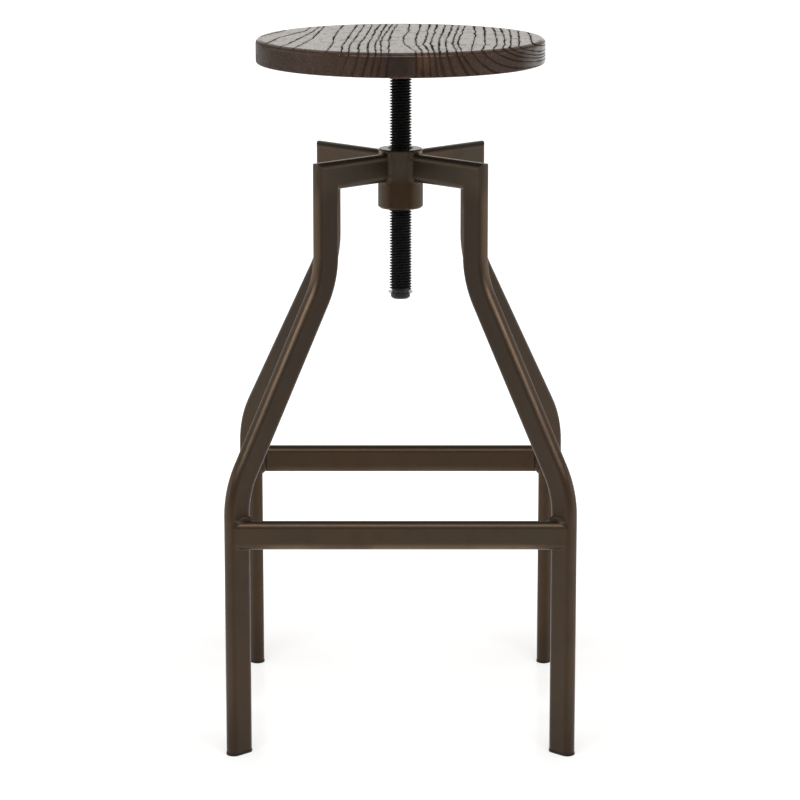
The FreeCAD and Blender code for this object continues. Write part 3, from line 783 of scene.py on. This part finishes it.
class STOOL_OT_fasteners(bpy.types.Operator):
    """Stop clip on the spindle and the wood screws that hold the seat"""

    bl_idname = "stool.fasteners"
    bl_label = "Clip and wood screws"

    def execute(self, context):
        dress(steel_finish(context.scene.stool_colours), "stop_clip", "seat_screws")
        return {"FINISHED"}


class STOOL_OT_tubes(bpy.types.Operator):
    """Finish of the hub, arms, legs and rails, with the welds that join them"""

    bl_idname = "stool.tubes"
    bl_label = "Tubes and welds"

    def execute(self, context):
        finish = bronze_finish(context.scene.stool_colours)
        leg = context.scene.stool_sizes.weld_leg / MM
        dress(finish, "hub", "rail_front", "rail_rear")
        for seed, (place, side) in enumerate(SIDES.items()):
            dress(finish, "arm_" + place, "leg_" + place)
            for name, joint in (("weld_hub_", hub_joint), ("weld_rail_", rail_joint)):
                mesh = weld_mesh(name + place, joint(side, leg), 3.0 * seed + len(name))
                new_piece(name + place, mesh, finish, "frame")
        return {"FINISHED"}


class STOOL_OT_feet(bpy.types.Operator):
    """Foot caps"""

    bl_idname = "stool.feet"
    bl_label = "Foot caps"

    def execute(self, context):
        dress(cap_finish(context.scene.stool_colours), *("foot_" + place for place in SIDES))
        return {"FINISHED"}


def softbox(name, place, aim, size, power):
    light = bpy.data.lights.new(name, "AREA")
    light.shape = "RECTANGLE"
    light.size, light.size_y = size
    light.energy = power
    lamp = bpy.data.objects.new(name, light)
    lamp.location = place
    lamp.rotation_euler = (Vector(aim) - Vector(place)).to_track_quat("-Z", "Y").to_euler()
    bpy.context.scene.collection.objects.link(lamp)


def white_room(scene):
    """World that a camera sees as plain white: low bright walls behind and beside the stool, dimmer elsewhere."""
    scene.world = bpy.data.worlds.new("white_room")
    scene.world.use_nodes = True
    room = Nodes(scene.world.node_tree)
    room.tree.nodes.clear()
    way = room.make("ShaderNodeTexCoord", output="Generated")
    east, north, height = (room.axis(way, name) for name in "XYZ")
    wall = 1.0 - (1.0 - UPPER_WALL) * room.step(height, *WALL_TOP)
    behind = room.step(north, *WALL_FRONT)
    side = room.step(abs(east), *SIDE_FROM) * room.band(height, *SIDE_FOOT, *SIDE_TOP)
    seen = room.make("ShaderNodeLightPath", output="Is Camera Ray")
    level = seen + (1.0 - seen) * (behind * wall + (1.0 - behind) * FRONT_WALL + side * SIDE_WALL)
    tint = room.make("ShaderNodeMix", {"data_type": "RGBA"},
                     {0: seen, 6: colour(ROOM_TINT), 7: (1.0, 1.0, 1.0, 1.0)}, output=2)
    glow = room.make("ShaderNodeBackground", {}, {"Color": tint, "Strength": level})
    room.make("ShaderNodeOutputWorld", {}, {"Surface": glow})


def floor_finish():
    """White floor with a faint shadow and mirror image near the feet, which washes out to plain white around them."""
    floor = Finish("white_floor")
    north = floor.axis(floor.place, "Y")
    aside, along = abs(floor.axis(floor.place, "X")), abs(north)
    foot = (FOOT_LOW.x + FOOT_HIGH.x) / 2
    gap = floor.make("ShaderNodeCombineXYZ", {}, {"X": aside - foot, "Y": along - foot})
    away = floor.make("ShaderNodeVectorMath", {"operation": "LENGTH"}, {0: gap}, output="Value")
    seen = floor.make("ShaderNodeLightPath", output="Is Camera Ray")
    mirrored = floor.make("ShaderNodeLightPath", output="Is Glossy Ray")
    wedge = floor.step(0.0 - north - WEDGE_SLOPE * aside, *WEDGE_SPAN)
    strength = seen * (NEAR_GLOW + FAR_GLOW * floor.step(away, *FAR_SPAN))
    strength = strength + mirrored * (METAL_GLOW - WEDGE_SHADE * wedge)
    matt = floor.make("ShaderNodeBsdfDiffuse", {}, {"Color": colour(FLOOR_WHITE)})
    sheen = floor.make("ShaderNodeBsdfGlossy", {}, {"Color": colour(FLOOR_SHEEN), "Roughness": SHEEN_ROUGHNESS})
    laid = floor.make("ShaderNodeMixShader", {}, {0: seen * SHEEN_SHARE, 1: matt, 2: sheen})
    lift = floor.make("ShaderNodeEmission", {}, {"Color": (1.0, 1.0, 1.0, 1.0), "Strength": strength})
    both = floor.make("ShaderNodeAddShader", {}, {0: laid, 1: lift})
    floor.make("ShaderNodeOutputMaterial", {}, {"Surface": both})
    return floor.material


class STOOL_OT_stage(bpy.types.Operator):
    """White floor, soft lights and the camera"""

    bl_idname = "stool.stage"
    bl_label = "Stage"

    def execute(self, context):
        scene = context.scene
        scene.view_settings.view_transform = "Standard"
        mesh = bpy.data.meshes.new("floor")
        corners = [(FLOOR_REACH * x, FLOOR_REACH * y, 0.0) for x, y in ((-1, -1), (1, -1), (1, 1), (-1, 1))]
        mesh.from_pydata(corners, [], [(0, 1, 2, 3)])
        mesh.materials.append(floor_finish())
        floor = bpy.data.objects.new("floor", mesh)
        scene.collection.objects.link(floor)
        white_room(scene)
        for lamp in SOFTBOXES:
            softbox(*lamp)
        lens = bpy.data.cameras.new("camera")
        lens.sensor_width = SENSOR_WIDTH
        lens.lens = FOCAL_LENGTH
        camera = bpy.data.objects.new("camera", lens)
        camera.location = CAMERA_PLACE
        camera.rotation_euler = (math.pi / 2 - CAMERA_TILT, 0.0, 0.0)
        scene.collection.objects.link(camera)
        scene.camera = camera
        return {"FINISHED"}


class STOOL_PT_pieces(bpy.types.Panel):
    """Pieces of the stool, in building order"""

    bl_idname = "STOOL_PT_pieces"
    bl_label = "Stool"
    bl_space_type = "VIEW_3D"
    bl_region_type = "UI"
    bl_category = "Stool"

    def draw(self, context):
        for operator in OPERATORS:
            self.layout.operator(operator.bl_idname)
        for group in (context.scene.stool_sizes, context.scene.stool_colours):
            for name in group.__annotations__:
                self.layout.prop(group, name)


OPERATORS = (STOOL_OT_seat, STOOL_OT_screw, STOOL_OT_fasteners, STOOL_OT_tubes, STOOL_OT_feet, STOOL_OT_stage)
CLASSES = (StoolSizes, StoolColours, *OPERATORS, STOOL_PT_pieces)


def register():
    for kind in CLASSES:
        bpy.utils.register_class(kind)
    bpy.types.Scene.stool_sizes = bpy.props.PointerProperty(type=StoolSizes)
    bpy.types.Scene.stool_colours = bpy.props.PointerProperty(type=StoolColours)


def unregister():
    del bpy.types.Scene.stool_colours
    del bpy.types.Scene.stool_sizes
    for kind in reversed(CLASSES):
        bpy.utils.unregister_class(kind)


def main():
    register()
    bpy.ops.stool.seat()
    bpy.ops.stool.screw()
    bpy.ops.stool.fasteners()
    bpy.ops.stool.tubes()
    bpy.ops.stool.feet()
    bpy.ops.stool.stage()


if __name__ == "__main__":
    main()
